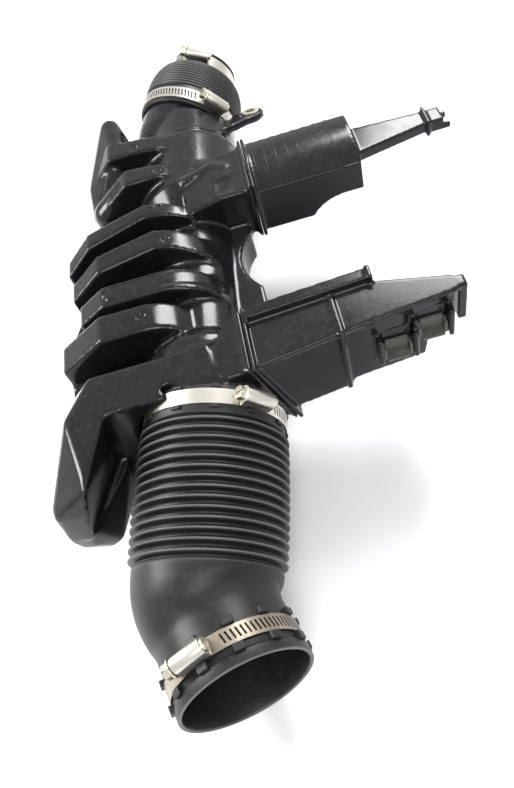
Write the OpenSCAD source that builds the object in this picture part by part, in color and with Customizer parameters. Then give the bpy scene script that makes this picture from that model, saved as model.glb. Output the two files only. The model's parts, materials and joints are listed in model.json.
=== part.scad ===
// Air intake resonator duct of a car engine bay, built as a bench assembly:
// one blow moulded duct body with seven hollow resonator fingers, two welded
// resonator boxes, a rubber hose at each end and four worm drive hose clamps.
// Working frame: X across the duct, Y along it away from the near hose, Z up.
// The working zero is the centre of the near spigot, where the near hose is
// clamped; the finished part is moved so that the near mouth sits at zero.

/* [Main duct] */
// Outside radius of the duct barrel at both ends
duct_r = 41; // [38:0.5:44]
// Outside radius of the slimmer waist between the two side boxes
waist_r = 29; // [26:0.5:34]
// Wall of the blow moulded duct
duct_wall = 3; // [2:0.25:4]
// Length of the duct from near spigot centre to the far shoulder
duct_len = 252; // [240:1:270]
// Sideways drift of the duct over its length
duct_drift = 20; // [10:1:26]
// Height of the flat tops of the resonator fingers above the duct axis
top_h = 41; // [38:0.5:46]
// Depth of the flat underside below the duct axis
base_h = 38; // [34:0.5:41]
// Height of the floor between the fingers
floor_h = 6; // [2:1:14]

/* [Resonator fingers] */
// Radius that carries each finger over the duct crown
finger_r = 43; // [40:0.5:46]
// Thickness of the sixth finger, along the duct
finger6_t = 22; // [16:1:24]
// Thickness of the fifth finger, along the duct
finger5_t = 18; // [14:1:20]
// Thickness of the fourth finger, along the duct
finger4_t = 18; // [12:1:20]
// Thickness of the third finger, along the duct
finger3_t = 14; // [10:1:16]
// Thickness of the second finger, along the duct
finger2_t = 13; // [10:1:16]
// Thickness of the first finger, along the duct
finger1_t = 17; // [12:1:18]
// Diameter of the small round dimple on each finger
dimple_d = 5.5; // [3:0.5:8]
// Depth of the dimples and of the groove on the fifth finger
groove_depth = 1; // [0.5:0.1:1.4]

/* [Near hose] */
// Outside radius of the spigot that the near hose slides over
near_spigot_r = 39.4; // [37:0.2:41]
// Wall of the rubber hoses
hose_wall = 2.6; // [2:0.1:3.2]
// Number of bellows ridges on the near hose
near_folds = 14; // [8:1:18]
// Distance from ridge to ridge on the near hose
near_pitch = 5.5; // [4.6:0.1:6.4]
// Height of the near bellows ridges
near_fold_h = 4.2; // [2.5:0.1:5]
// How far the near bellows ridges stand out past the cuff
near_crest_rise = 2.2; // [1:0.1:3.5]
// Extra radius of the near bellows at mid length
near_barrel = 0.8; // [0:0.1:3]
// Outside radius of the near mouth cuff
near_mouth_r = 36; // [33:0.2:38]
// Length of the straight near mouth cuff
near_cuff = 32; // [27:1:38]
// Length of the taper between the bend and that cuff
near_taper = 9; // [6:0.5:14]
// Centre line radius of the bend between bellows and mouth cuff
near_bend_r = 46; // [45:1:60]
// Angle of that bend
near_bend = 32; // [10:1:40]

/* [Far hose] */
// Outside radius of the spigot that the far hose slides over
far_spigot_r = 36.6; // [34:0.2:38]
// Number of bellows ridges on the far hose
far_folds = 12; // [8:1:14]
// Distance from ridge to ridge on the far hose
far_pitch = 2.3; // [2:0.1:3]
// Height of the far bellows ridges
far_fold_h = 1.2; // [0.8:0.1:1.6]
// Outside radius of the far mouth cuff
far_mouth_r = 26; // [23:0.5:29]
// Length of the far mouth cuff
far_cuff = 16; // [15:1:26]

/* [Hose clamps] */
// Width of the clamp bands
band_w = 9; // [8:0.5:12]
// Thickness of the clamp bands
band_t = 0.8; // [0.6:0.1:1.2]
// Length of the screw housing on each clamp
housing_l = 18; // [15:0.5:22]
// Diameter of the worm screw
screw_d = 6.5; // [5:0.25:8]
// Width across the flats of the screw head
head_af = 7; // [6:0.25:8]

/* [Near resonator box] */
// Length of the near box from its flange to its outer end
near_box_l = 122; // [116:1:132]
// Height of the near box front wall at its deep end
near_box_h = 56; // [50:1:60]
// Width of the rail along the back of the near box
rail_w = 8; // [5:0.5:10]
// Height of that rail above the box
rail_h = 5; // [3:0.5:8]
// Width of each clip pocket
pocket_w = 24; // [18:1:26]

/* [Far resonator box] */
// Length of the far box from its flange to its outer end
far_box_l = 75; // [70:1:84]
// Width of the far box along the duct
far_box_w = 47; // [42:1:52]
// Number of thin ribs over the far box
far_ribs = 8; // [4:1:9]
// Distance from rib to rib
far_rib_pitch = 7.7; // [6:0.1:8]
// Length of the stem that reaches out of the far box
stem_l = 49; // [36:1:60]

/* [Mounting lug] */
// Bore of the metal bush in the lug
bush_bore = 7; // [5:0.5:9]
// Outside diameter of the bush
bush_d = 14; // [11:0.5:16]
// Length of the bush
bush_l = 8; // [6:0.5:12]

/* [Hidden] */

fit = 0.15;
fine = 96;
round_fn = 32;

// Headings and slopes of the two hoses, in degrees from the duct frame
near_az = -13;
near_slope = -7.5;
near_bend_roll = 21;
far_az = 152;
far_slope = 15;
duct_z = -2;
near_centre = [1.5, 0, -1.5];
far_centre = [duct_drift + 3, duct_len + 54, 1];

// Sideways centres of the radius over the crown
finger6_x = -27;
finger5_x = -10;
finger4_x = -8;
// Front lines of the fingers along Y
finger6_y = 60;
finger5_y = 88;
finger4_y = 127;
finger3_y = 159;
finger2_y = duct_len - 54;
finger1_y = duct_len - 20;
// Left ends of the long fingers, past the body side
finger_end_x = -100;

// Weld faces of the two boxes, and the near corner of the far box
near_flange_x = 35.2;
far_flange_x = 61;
far_box_y = duct_len - 96;
far_box_z = 2;
flange_lean = 0.3;

// Radii that follow from the sizes above
near_cuff_r = near_spigot_r + fit + hose_wall;
far_cuff_r = far_spigot_r + fit + hose_wall;
// Places along the hose axes, from the working zero of each hose
near_band_z = -8;
near_cuff_back = near_band_z - band_w / 2 - 3;
near_bellows_z = near_band_z + band_w / 2 + 5.5;
near_bellows_l = near_folds * near_pitch;
near_bend_z = near_bellows_z + near_bellows_l + 2;
near_elbow_z = near_cuff_back - 9;
far_cuff_back = -band_w / 2 - 3;
far_bellows_z = band_w / 2 + 4;
far_bellows_l = far_folds * far_pitch;
far_cuff_z = far_bellows_z + far_bellows_l;
far_elbow_z = far_cuff_back - 14;
mouth_rim = 10;
mouth_z = near_taper + near_cuff;
duct_start = 30;
lug_tilt = -16;
collar_gap = 2.5;
flange_t = 2.5;
clear = 0.3;

// Clip pockets of the near box: outer corner, wall and depth
inner_pocket = [108, 16, 2];
outer_pocket = [130, 20, 8];
pocket_wall = 3;
pocket_deep = 9;
lid_lip = 1.2;

black = [0.07, 0.07, 0.08];
rubber = [0.16, 0.16, 0.17];
steel = [0.78, 0.77, 0.72];
zinc = [0.80, 0.72, 0.50];
clip_grey = [0.36, 0.34, 0.30];

// Turns of a point about the three axes
function turn_x(v, a) = [v.x, v.y * cos(a) - v.z * sin(a), v.y * sin(a) + v.z * cos(a)];
function turn_y(v, a) = [v.x * cos(a) + v.z * sin(a), v.y, v.z * cos(a) - v.x * sin(a)];
function turn_z(v, a) = [v.x * cos(a) - v.y * sin(a), v.x * sin(a) + v.y * cos(a), v.z];

// Centre of the near mouth in the working frame
bend_arm = [near_bend_r, 0, 0];
mouth_local = turn_z(turn_y([0, 0, mouth_z] - bend_arm, near_bend) + bend_arm, near_bend_roll);
near_mouth_point =
    near_centre + turn_z(turn_x([0, 0, near_bend_z] + mouth_local, 90 - near_slope), near_az);

// Turns the local Z axis to a heading about Z and a slope
module aim(az, slope) {
    rotate([90 - slope, 0, az]) children();
}

// Place across the duct of the leaning near weld face at a height
function flange_x(z) = near_flange_x + (top_h + 1 - z) * flange_lean;

// Carries children round a bend that starts at local zero along Z
module after_bend(bend_r, angle, roll) {
    rotate([0, 0, roll])
        translate([bend_r, 0, 0])
            rotate([0, angle, 0])
                translate([-bend_r, 0, 0])
                    rotate([0, 0, -roll])
                        children();
}

// Local frames of the hoses and of their mouths
module near_frame() {
    translate(near_centre) aim(near_az, near_slope) children();
}

module near_mouth_frame() {
    near_frame()
        translate([0, 0, near_bend_z])
            after_bend(near_bend_r, near_bend, near_bend_roll)
                children();
}

module far_frame() {
    translate(far_centre) aim(far_az, far_slope) children();
}

// Moves the finished part so that the near mouth is at zero
module placed() {
    translate(-near_mouth_point) children();
}

// Frame of the slightly drifting main duct, with local Z along it
module duct_frame() {
    translate([0, 0, duct_z]) rotate([-90, 0, -atan2(duct_drift, duct_len)]) children();
}

// Duct body
module duct_barrel(inset) {
    r = duct_r - inset;
    w = waist_r - inset;
    rotate_extrude($fn = fine)
        polygon([
            [0, duct_start], [r - 2, duct_start], [r - 2, 50], [w, 62], [w, 166], [r, 188],
            [r, duct_len - 8], [r - 3, duct_len - 1], [r - 6, duct_len + 3],
            [r - 6, duct_len + 34], [0, duct_len + 34]]);
}

// Outline of one finger seen from the near end
module finger_section(crown_x, corner, outer, outer_z, inset = 0) {
    translate([crown_x, top_h - finger_r])
        circle(r = finger_r - inset, $fn = fine);
    polygon([
        [crown_x, top_h - inset], [corner, top_h - inset], [outer + inset, outer_z - inset],
        [outer + inset, -base_h], [crown_x, -base_h]]);
}

// One finger: a plan outline cut from its section
module finger(plan, crown_x, corner, outer, outer_z) {
    intersection() {
        translate([0, 0, -base_h])
            linear_extrude(height = base_h + top_h + 5) polygon(plan);
        translate([0, duct_len, 0])
            rotate([90, 0, 0])
                linear_extrude(height = duct_len) finger_section(crown_x, corner, outer, outer_z);
    }
}

// Plan of a finger that bends once: front line y at right, knee and left end
function finger_plan(right, knee, left, front, t_r, t_k, t_l) = [
    [right, front[0]], [knee, front[1]], [left, front[2]],
    [left, front[2] + t_l], [knee, front[1] + t_k], [right, front[0] + t_r]];

module finger6() {
    front = [finger6_y - 3, finger6_y, finger6_y];
    finger(finger_plan(20, -10, finger_end_x, front, finger6_t, finger6_t, finger6_t), finger6_x, -51, -84, 21);
}

module finger5() {
    front = [finger5_y - 4, finger5_y, finger5_y];
    difference() {
        finger(finger_plan(36, -10, finger_end_x, front, finger5_t, finger5_t, finger5_t), finger5_x, -48, -68, 29);
        racetrack_groove();
    }
}

// The long oval groove that runs along the crown of the fifth finger
module racetrack_groove() {
    inner = finger5_t / 2 - 4;
    difference() {
        translate([0, finger5_y + finger5_t / 2, 0])
            linear_extrude(height = top_h + 5)
                difference() {
                    groove_outline(inner + 1);
                    groove_outline(inner);
                }
        translate([0, duct_len, 0])
            rotate([90, 0, 0])
                linear_extrude(height = duct_len) finger_section(finger5_x, -48, -68, 29, groove_depth);
    }
}

module groove_outline(r) {
    translate([-42, 0]) circle(r = r, $fn = round_fn);
    translate([-42, -r]) square([72, 2 * r]);
}

module finger4() {
    front = [finger4_y - 15, finger4_y, finger4_y - 19];
    finger(finger_plan(38, -10, finger_end_x, front, finger4_t, finger4_t, 16), finger4_x, -50, -74, 26);
}

module finger3() {
    front = [finger3_y - 6, finger3_y, finger3_y - 31];
    finger(finger_plan(16, -15, finger_end_x, front, 12, finger3_t, 16), finger4_x, -55, -76, 27);
}

module finger2() {
    front = [finger2_y - 1, finger2_y, finger2_y - 1];
    finger(finger_plan(12, -10, -44, front, finger2_t, 16, 20), finger4_x, -26, -52, 22);
}

module finger1() {
    front = [finger1_y - 5, finger1_y, finger1_y];
    finger(finger_plan(14, -20, -60, front, finger1_t, finger1_t, 18), finger4_x, -36, -56, 22);
}

// Swept up horn at the far left corner of the body
module horn() {
    translate([0, duct_len, 0])
        hull() {
            translate([-31, -7, top_h - 8]) sphere(r = 8, $fn = round_fn);
            translate([-35, 26, top_h - 7]) sphere(r = 8, $fn = round_fn);
            translate([-53, -17, 14]) sphere(r = 9, $fn = round_fn);
            translate([-50, 26, 8]) sphere(r = 11, $fn = round_fn);
            translate([-51, -40, 8]) sphere(r = 11, $fn = round_fn);
            translate([-20, -12, 4]) sphere(r = 8, $fn = round_fn);
        }
}

// Rounded bulge at the left end of the second finger
module bulge() {
    translate([0, duct_len - 47, 0])
        hull() {
            translate([-30, 2, top_h - 13]) sphere(r = 10, $fn = round_fn);
            translate([-47, 0, 14]) sphere(r = 12, $fn = round_fn);
            translate([-15, 0, 6]) sphere(r = 10, $fn = round_fn);
        }
}

// Low chamber that all the fingers stand on
module plenum() {
    translate([0, 0, -base_h])
        linear_extrude(height = base_h + floor_h)
            polygon([
                [14, 14], [-50, 14], [-84, 24], [-84, 96], [-73, 124], [-77, 160],
                [-70, duct_len - 62], [-59, duct_len - 49], [-57, duct_len + 4],
                [-44, duct_len + 34], [-28, duct_len + 34], [-16, duct_len - 2], [14, duct_len - 2]]);
}

// Leg of the end finger, which reaches forward beside the near hose
module leg() {
    hull() {
        translate([0, 0, top_h - 1])
            linear_extrude(height = 1)
                polygon([[-75, 9], [-53, 2], [-64, -38], [-59, 36], [-50, 34]]);
        translate([0, 0, 20])
            linear_extrude(height = 1)
                polygon([[-84, 30], [-92, -34], [-90, -40], [-72, -42], [-55, 0], [-50, 30]]);
        translate([0, 0, -6])
            linear_extrude(height = 1)
                polygon([[-86, 30], [-96, -31], [-93, -41], [-80, -43], [-63, 0], [-50, 30]]);
    }
    hull() {
        translate([0, 0, -8])
            linear_extrude(height = 3)
                polygon([[-86, 30], [-96, -31], [-93, -41], [-81, -42], [-76, -39], [-55, -2], [-50, 30]]);
        translate([0, 0, -20])
            linear_extrude(height = 1)
                polygon([[-86, 30], [-96, -29], [-92, -40], [-82, -41], [-77, -38], [-57, 0], [-50, 30]]);
        translate([0, 0, -base_h])
            linear_extrude(height = 1)
                polygon([[-80, 30], [-90, -24], [-86, -34], [-78, -35], [-72, -32], [-60, 0], [-50, 30]]);
    }
}

// Bridge of the end finger from the leg to the duct
module leg_bridge() {
    translate([0, 0, -base_h])
        linear_extrude(height = base_h + top_h)
            polygon([[14, 38], [-59, 36], [-66, 22], [-60, 4], [-46, 7], [-31, 8], [-11, 6], [2, 6], [14, 20]]);
}

// Wedge shaped port that carries the near box
module near_port() {
    intersection() {
        translate([0, 0, -base_h])
            linear_extrude(height = base_h + top_h)
                polygon([[12, 22], [20, 9], [60, 11], [60, 52], [26, 52], [23, 47]]);
        translate([0, 100, 0])
            rotate([90, 0, 0])
                linear_extrude(height = 100)
                    polygon([
                        [0, top_h - 1], [flange_x(top_h) - 1, top_h - 1],
                        [flange_x(-15) - 1, -15], [20, -30], [0, -30]]);
    }
}

// Square port that carries the far box
module far_port() {
    plate_x = far_flange_x - clear - flange_t;
    crown = top_h - 1;
    difference() {
        translate([0, far_box_y + far_box_w, 0])
            rotate([90, 0, 0])
                linear_extrude(height = far_box_w)
                    polygon([
                        [14, crown - 5], [38, crown], [plate_x + 1, crown],
                        [plate_x + 1, far_box_z], [14, far_box_z]]);
        translate([36, far_box_y + 5, crown - 1.5]) cube([13, 15, 5]);
    }
    far_step();
    far_flange_plate(plate_x);
}

// Raised step that runs from the pipe crown to the far port
module far_step() {
    translate([0, far_box_y, top_h - 6])
        linear_extrude(height = 6)
            polygon([[15, 27], [36, 35], [46, 29], [49, 33], [37, 40], [15, 32]]);
}

// Body wall between the two ports, hollowed on its outer side
module saddle() {
    translate([0, 0, -14])
        linear_extrude(height = 26)
            difference() {
                translate([20, 56]) square([32, far_box_y - 54]);
                translate([80, far_box_y - 34]) circle(r = 38, $fn = fine);
            }
}

// Lug with the bush seat, beside the far neck
module lug_frame() {
    translate([far_centre.x + 52, duct_len + 27, 10]) rotate([lug_tilt, 0, 0]) children();
}

module lug() {
    lug_frame()
        linear_extrude(height = bush_l - 2, center = true)
            hull() {
                circle(d = bush_d + 6, $fn = round_fn);
                translate([-32, -14]) circle(d = 16, $fn = round_fn);
            }
}

module dimple(x, y) {
    translate([x, y, top_h - groove_depth])
        cylinder(d = dimple_d, h = groove_depth + 1, $fn = round_fn);
}

// Everything that is moulded on to the duct barrel
module duct_extras() {
    plenum();
    finger6();
    finger5();
    finger4();
    finger3();
    finger2();
    finger1();
    horn();
    bulge();
    leg();
    leg_bridge();
    near_port();
    near_flange_plate(0);
    far_port();
    saddle();
    lug();
}

// Spigots with the ball shaped elbows that join them to the barrel
module near_spigot(r) {
    near_frame() {
        translate([0, 0, near_elbow_z])
            cylinder(r = r, h = near_bellows_z - 1 - near_elbow_z, $fn = fine);
        translate([0, 0, near_elbow_z]) sphere(r = r, $fn = fine);
    }
}

module far_spigot(r) {
    far_frame() {
        translate([0, 0, far_elbow_z])
            cylinder(r = r, h = far_bellows_z - 1 - far_elbow_z, $fn = fine);
        translate([0, 0, far_elbow_z]) sphere(r = r, $fn = fine);
    }
}

module duct_body() {
    color(black)
        difference() {
            union() {
                difference() {
                    union() {
                        duct_frame() duct_barrel(0);
                        duct_extras();
                    }
                    near_frame()
                        translate([0, 0, near_cuff_back - collar_gap])
                            cylinder(r = near_cuff_r + collar_gap, h = 60, $fn = fine);
                    far_frame()
                        translate([0, 0, far_cuff_back - collar_gap])
                            cylinder(r = far_cuff_r + collar_gap, h = 60, $fn = fine);
                    at_far_collar() housing_room(far_cuff_r);
                }
                near_spigot(near_spigot_r);
                far_spigot(far_spigot_r);
            }
            near_box_room();
            duct_frame() duct_barrel(duct_wall);
            near_spigot(near_spigot_r - duct_wall);
            far_spigot(far_spigot_r - duct_wall);
            near_frame() cylinder(r = near_spigot_r - duct_wall, h = 40, center = true, $fn = fine);
            far_frame() cylinder(r = far_spigot_r - duct_wall, h = 40, center = true, $fn = fine);
            lug_frame() cylinder(d = bush_d + 2 * fit, h = 3 * bush_l, center = true, $fn = 64);
            dimple(-16, finger1_y + 5);
            dimple(-1, finger2_y + 6);
            dimple(-4, finger3_y + 7);
            dimple(-2, finger4_y + 5);
            dimple(-24, finger6_y + finger6_t / 2);
        }
}

// Room kept free beyond the near weld face, for the near box
module near_box_room() {
    translate([0, 60, 0])
        rotate([90, 0, 0])
            linear_extrude(height = 60)
                polygon([
                    [flange_x(top_h + 5), top_h + 5], [flange_x(-20), -20],
                    [flange_x(-20) + 30, -20], [flange_x(-20) + 30, top_h + 5]]);
}

// Slanted weld flange of the near port, and its twin on the box
module near_flange_plate(shift) {
    translate([shift, 0, 0])
        rotate([90, 0, 0])
            translate([0, 0, -55])
                linear_extrude(height = 47)
                    polygon([
                        [flange_x(top_h + 1) - flange_t, top_h + 1], [flange_x(top_h + 1), top_h + 1],
                        [flange_x(-18), -18], [flange_x(-18) - flange_t, -18]]);
}

module far_flange_plate(x) {
    translate([x, far_box_y - 3, far_box_z - 3])
        cube([flange_t, far_box_w + 6, 46]);
}

// Near resonator box: plan, and section along its length
module near_box_plan() {
    xe = near_flange_x + near_box_l;
    polygon([[30, 10], [88, 19], [xe - 1, 27], [xe + 9, 32], [xe, 39], [115, 50], [30, 52]]);
}

module near_box_section() {
    xe = near_flange_x + near_box_l;
    deep = top_h - 1 - near_box_h;
    polygon([
        [flange_x(top_h - 1) + clear + 1, top_h - 1], [xe + 5, top_h - 1], [xe + 7, top_h - 4],
        [xe + 8, 9], [xe - 16, 7], [xe - 19, -11], [93, -10], [90, deep],
        [flange_x(-15) + clear + 1, -15]]);
}

module near_resonator_box() {
    xe = near_flange_x + near_box_l;
    lid = 3;
    color(black)
        difference() {
            union() {
                intersection() {
                    union() {
                        translate([0, 0, -30])
                            linear_extrude(height = 30 + top_h - 1 - lid) offset(delta = -lid_lip) near_box_plan();
                        translate([0, 0, top_h - 1 - lid]) linear_extrude(height = lid) near_box_plan();
                    }
                    translate([0, 100, 0])
                        rotate([90, 0, 0])
                            linear_extrude(height = 100) near_box_section();
                }
                near_flange_plate(flange_t + clear);
                rail();
                mid_rib();
                clip_pocket(inner_pocket, pocket_w);
                clip_pocket(outer_pocket, pocket_w);
            }
            pocket_cut(inner_pocket, pocket_w);
            pocket_cut(outer_pocket, pocket_w);
            translate([xe - 1, 20, -20]) cube([5, 40, top_h - 1 - lid + 20]);
        }
}

// Raised rail along the back of the near box
module rail() {
    x0 = flange_x(top_h - 8) + clear + 1;
    translate([0, 0, top_h - 8])
        linear_extrude(height = 7 + rail_h)
            polygon([[x0, 52 - rail_w], [115, 57 - rail_w], [115, 57], [x0, 52]]);
    translate([112, 48, top_h - 12]) cube([3, 10, 12 + rail_h]);
}

module mid_rib() {
    translate([87, 17.5, top_h - near_box_h]) cube([3, 4, near_box_h]);
    translate([87, 17.5, top_h - 4]) cube([3, 32, 4]);
}

// Open clip pocket on the front wall: outside, and what is cut from it
module clip_pocket(at, w) {
    translate(at) cube([w, 14, 22]);
}

module pocket_cut(at, w) {
    translate(at + [pocket_wall, -1, -1]) cube([w - 2 * pocket_wall, pocket_deep + 1, 24]);
}

// Bent clip that lines the floor and the back of a pocket
module box_clip(at, w) {
    plate = 1.6;
    color(clip_grey)
        translate(at + [pocket_wall + clear, 0, 0]) {
            translate([2, 1, 1]) cube([w - 2 * pocket_wall - 2 * clear - 4, pocket_deep - 1 - clear, plate]);
            translate([2, pocket_deep - clear - plate, 1])
                cube([w - 2 * pocket_wall - 2 * clear - 4, plate, 12]);
            for (x = [0, w - 2 * pocket_wall - 2 * clear - plate - 0.4])
                translate([x + 0.2, 3, 1]) cube([plate + 0.2, pocket_deep - 3 - clear, 9]);
            translate([1, 3, 1]) cube([w - 2 * pocket_wall - 2 * clear - 2, pocket_deep - 3 - clear, plate]);
        }
}

// Far resonator box
module far_section(grow) {
    intersection() {
        translate([far_box_y, far_box_z]) square([far_box_w, 60]);
        translate([far_box_y + 30, -16]) circle(r = 60 + grow, $fn = 128);
    }
}

module far_resonator_box() {
    x0 = far_flange_x;
    xe = x0 + far_box_l;
    color(black)
        difference() {
            union() {
                translate([x0, 0, 0])
                    rotate([90, 0, 90])
                        linear_extrude(height = far_box_l) far_section(0);
                far_flange_plate(x0);
                for (i = [0 : far_ribs - 1])
                    translate([x0 + 6 + i * far_rib_pitch, 0, 0])
                        rotate([90, 0, 90])
                            linear_extrude(height = 1)
                                intersection() {
                                    far_section(0.6);
                                    translate([far_box_y + 12, 20]) square([60, 60]);
                                }
                stem(xe);
            }
            translate([xe - 14, far_box_y + far_box_w + 20, -14])
                rotate([90, 0, 0])
                    cylinder(r = 28, h = far_box_w + 40, $fn = fine);
            translate([xe - 14, far_box_y - 16, -20]) cube([30, far_box_w + 32, 34]);
        }
}

module stem(x) {
    translate([x, far_box_y, 0]) {
        translate([0, 0, 31])
            linear_extrude(height = 8)
                polygon([[-2, 6], [stem_l, 16], [stem_l, 30], [-2, 34]]);
        translate([stem_l, 14, 29]) cube([flange_t, 18, 12]);
        translate([stem_l, 16, 30]) fork_clip();
    }
}

// Open fork at the tip of the stem
module fork_clip() {
    difference() {
        cube([17, 14, 9]);
        translate([4, 3, -2]) cube([20, 8, 8]);
        translate([12, -4, 4]) cube([8, 20, 8]);
    }
}

// Ridged wall of a bellows from z = 0 upwards: crest radius is a function of place
function near_crest(u) = near_cuff_r + near_crest_rise + near_barrel * (1 - pow(2 * u - 1, 2));
function far_crest(u) = far_mouth_r + 3 + (far_cuff_r + 0.9 - far_mouth_r - 3) * sqrt(1 - pow(max(0, u * 1.15 - 0.2), 2));

function bellows_wall(folds, pitch, fold_h, crest, inset) = [
    for (i = [0 : folds - 1])
        let (u = (i + 0.5) / folds, c = crest(u) - inset, r = c - fold_h)
            each [
                [r, i * pitch], [r, (i + 0.22) * pitch], [c, (i + 0.4) * pitch],
                [c, (i + 0.78) * pitch], [r, (i + 0.96) * pitch]]];

function flip(points) = [for (i = [len(points) - 1 : -1 : 0]) points[i]];

module bellows(folds, pitch, fold_h, crest) {
    outside = bellows_wall(folds, pitch, fold_h, crest, 0);
    inside = bellows_wall(folds, pitch, fold_h, crest, hose_wall);
    rotate_extrude($fn = fine) polygon(concat(outside, flip(inside)));
}

// Solid round bend of the near hose, from local zero upwards
module bend_rod(r) {
    rotate([0, 0, near_bend_roll])
        translate([near_bend_r, 0, 0])
            rotate([90, 0, 180])
                rotate_extrude(angle = near_bend, $fn = fine)
                    translate([near_bend_r, 0]) circle(r = r, $fn = fine);
}

module near_hose() {
    shoulder_r = near_cuff_r - 0.4;
    bore_r = near_cuff_r - near_fold_h - hose_wall;
    bend_bore = shoulder_r - hose_wall;
    mouth_bore = near_mouth_r - hose_wall;
    step = 0.5;
    color(rubber)
        difference() {
            union() {
                near_frame() {
                    translate([0, 0, near_cuff_back])
                        cylinder(r = near_cuff_r, h = near_bellows_z - near_cuff_back + 1, $fn = fine);
                    translate([0, 0, near_bellows_z])
                        bellows(near_folds, near_pitch, near_fold_h, function (u) near_crest(u));
                    translate([0, 0, near_bend_z - 3])
                        cylinder(r = shoulder_r + step, h = 4, $fn = fine);
                    translate([0, 0, near_bend_z]) bend_rod(shoulder_r);
                    translate([0, 0, near_band_z - band_w / 2 - 2.5])
                        locating_lugs(near_cuff_r, 2);
                    translate([0, 0, near_band_z + band_w / 2 + 0.5])
                        locating_lugs(near_cuff_r, 2);
                }
                near_mouth_frame() {
                    translate([0, 0, -step])
                        cylinder(r1 = shoulder_r - 0.1, r2 = near_mouth_r, h = near_taper, $fn = fine);
                    translate([0, 0, near_taper - 1])
                        cylinder(r = near_mouth_r, h = near_cuff + 1, $fn = fine);
                    translate([0, 0, mouth_z - 6])
                        cylinder(r = near_mouth_r + 0.9, h = 6, $fn = fine);
                    translate([0, 0, mouth_z - mouth_rim - band_w - 4])
                        locating_lugs(near_mouth_r, 3.5);
                    translate([0, 0, mouth_z - mouth_rim + 0.5])
                        locating_lugs(near_mouth_r, 3.6);
                }
            }
            near_frame() {
                translate([0, 0, near_cuff_back - 1])
                    cylinder(r = near_spigot_r + fit, h = near_bellows_z - near_cuff_back + 1, $fn = fine);
                translate([0, 0, near_bellows_z - 1])
                    cylinder(r = bore_r, h = near_bend_z - near_bellows_z + 2, $fn = fine);
                translate([0, 0, near_bend_z]) bend_rod(bend_bore);
            }
            near_mouth_frame() {
                translate([0, 0, -step])
                    cylinder(r1 = bend_bore - 0.1, r2 = mouth_bore - 0.1, h = near_taper, $fn = fine);
                translate([0, 0, near_taper - 1])
                    cylinder(r = mouth_bore, h = near_cuff + 3, $fn = fine);
            }
        }
}

// Castle of small lugs that keeps a clamp band in its lane
module locating_lugs(r, len, count = 12) {
    for (i = [0 : count - 1])
        rotate([0, 0, (i + 0.5) * 360 / count])
            translate([r - 1, -3, 0]) cube([2.6, 6, len]);
}

module far_hose() {
    end_r = far_crest(1) - far_fold_h;
    color(rubber)
        difference() {
            union() {
                far_frame() {
                    translate([0, 0, far_cuff_back])
                        cylinder(r = far_cuff_r, h = far_bellows_z - far_cuff_back + 0.5, $fn = fine);
                    translate([0, 0, far_bellows_z])
                        bellows(far_folds, far_pitch, far_fold_h, function (u) far_crest(u));
                    translate([0, 0, far_cuff_z - 3])
                        cylinder(r = end_r + 2.5, h = 3, $fn = fine);
                    translate([0, 0, far_cuff_z - 3])
                        cylinder(r = far_mouth_r, h = far_cuff + 3, $fn = fine);
                    translate([0, 0, far_cuff_z + far_cuff - 2.5])
                        cylinder(r = far_mouth_r + 0.8, h = 2.5, $fn = fine);
                }
            }
            far_frame() {
                translate([0, 0, far_cuff_back - 1])
                    cylinder(r = far_spigot_r + fit, h = far_bellows_z - far_cuff_back + 1.2, $fn = fine);
                translate([0, 0, far_cuff_back - 1])
                    cylinder(r = far_mouth_r - hose_wall, h = 80, $fn = fine);
            }
        }
}

// Metal bush pressed in the lug
module lug_bush() {
    color(zinc)
        lug_frame()
            difference() {
                cylinder(d = bush_d, h = bush_l, center = true, $fn = 64);
                cylinder(d = bush_bore, h = bush_l + 2, center = true, $fn = 64);
            }
}

// Worm drive hose clamp: band with slots, rolled housing and screw
slot_pitch = 2.6;

module clamp_band(r, slots) {
    in_r = r + fit;
    step = slot_pitch / in_r * 180 / PI;
    color(steel)
        difference() {
            cylinder(r = in_r + band_t, h = band_w, center = true, $fn = fine);
            cylinder(r = in_r, h = band_w + 2, center = true, $fn = fine);
            for (i = [0 : 1 : slots - 1])
                rotate([0, 0, -(i + 6) * step])
                    translate([in_r, 0, 0])
                        rotate([12, 0, 0])
                            cube([4, 1.1, band_w * 0.62], center = true);
        }
}

module clamp_housing(r) {
    seat = r + fit + band_t + fit;
    color(steel)
        difference() {
            union() {
                translate([seat, -housing_l / 2, -band_w / 2 - 0.2])
                    cube([2.2, housing_l, band_w + 0.4]);
                translate([seat + screw_d / 2 + 1.2, 0, 0])
                    rotate([90, 0, 0])
                        cylinder(d = screw_d + 2.4, h = housing_l, center = true, $fn = 48);
            }
            translate([seat + screw_d / 2 + 1.2, 0, 0])
                rotate([90, 0, 0])
                    cylinder(d = screw_d + 2 * fit, h = housing_l + 2, center = true, $fn = 48);
            cylinder(r = seat, h = 3 * band_w, center = true, $fn = fine);
        }
}

// Room kept free round a screw housing
module housing_room(r) {
    translate([r, -housing_l / 2 - 8, -band_w / 2 - 1.5])
        cube([screw_d + 8, housing_l + 16, band_w + 3]);
}

module clamp_screw(r, side) {
    seat = r + fit + band_t + fit;
    color(zinc)
        translate([seat + screw_d / 2 + 1.2, 0, 0])
            rotate([90 * side, 0, 0])
                difference() {
                    union() {
                        cylinder(d = screw_d, h = housing_l + 3, center = true, $fn = 48);
                        translate([0, 0, housing_l / 2 + 0.3])
                            cylinder(d = head_af + 3, h = 1, $fn = 48);
                        translate([0, 0, housing_l / 2 + 0.3])
                            cylinder(d = head_af / cos(30), h = 5, $fn = 6);
                    }
                    translate([-10, -0.6, housing_l / 2 + 3.8]) cube([20, 1.2, 4]);
                }
}

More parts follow.
